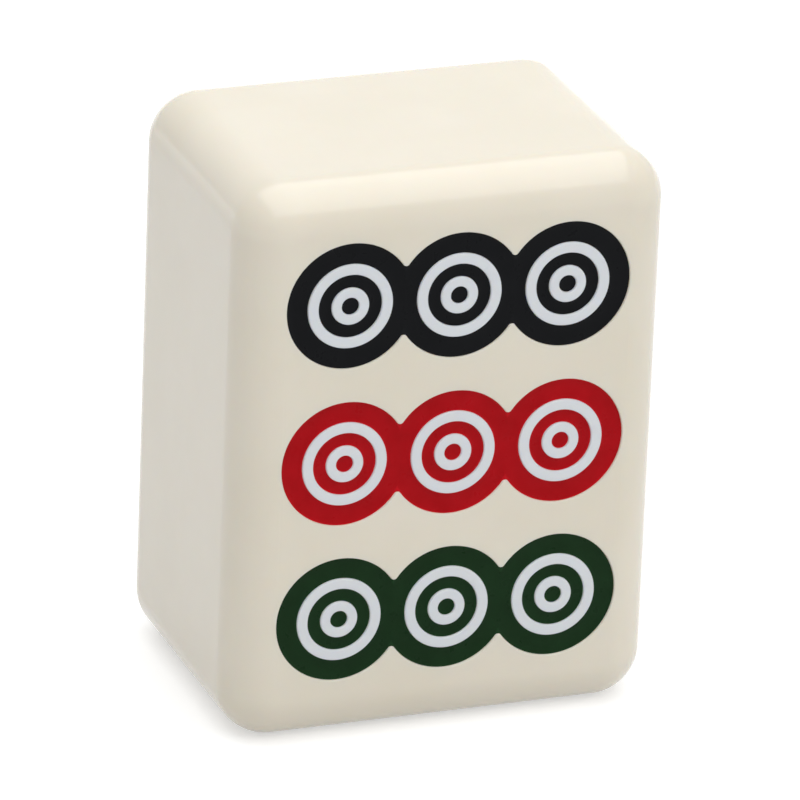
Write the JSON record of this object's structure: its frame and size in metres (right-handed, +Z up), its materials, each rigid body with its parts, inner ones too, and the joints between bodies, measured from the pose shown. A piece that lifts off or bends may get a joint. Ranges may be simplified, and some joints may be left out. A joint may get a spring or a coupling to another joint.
{
  "type": "mahjong tile",
  "caption": "Ivory mahjong tile of the circle suit that stands on its short end, with rows of engraved circles filled with black, red and green paint.",
  "frame": {"origin": "middle of the foot, the short end that the tile stands on", "axes": "+Z up along the tile's height, -Y out of the engraved face, +Y out of the plain back, +X to the right of someone who looks at the face"},
  "size_m": [0.03, 0.0224, 0.0395],
  "materials": {
    "ivory_melamine": "polished",
    "black_enamel": "gloss",
    "red_enamel": "gloss",
    "green_enamel": "gloss"
  },
  "bodies": {
    "root": {"tile_body": "ivory_melamine", "black_band": "black_enamel", "red_band": "red_enamel", "green_band": "green_enamel", "black_ring_left": "black_enamel", "black_ring_middle": "black_enamel", "black_ring_right": "black_enamel", "red_ring_left": "red_enamel", "red_ring_middle": "red_enamel", "red_ring_right": "red_enamel", "green_ring_left": "green_enamel", "green_ring_middle": "green_enamel", "green_ring_right": "green_enamel", "black_dot_left": "black_enamel", "black_dot_middle": "black_enamel", "black_dot_right": "black_enamel", "red_dot_left": "red_enamel", "red_dot_middle": "red_enamel", "red_dot_right": "red_enamel", "green_dot_left": "green_enamel", "green_dot_middle": "green_enamel", "green_dot_right": "green_enamel"}
  },
  "joints": []
}
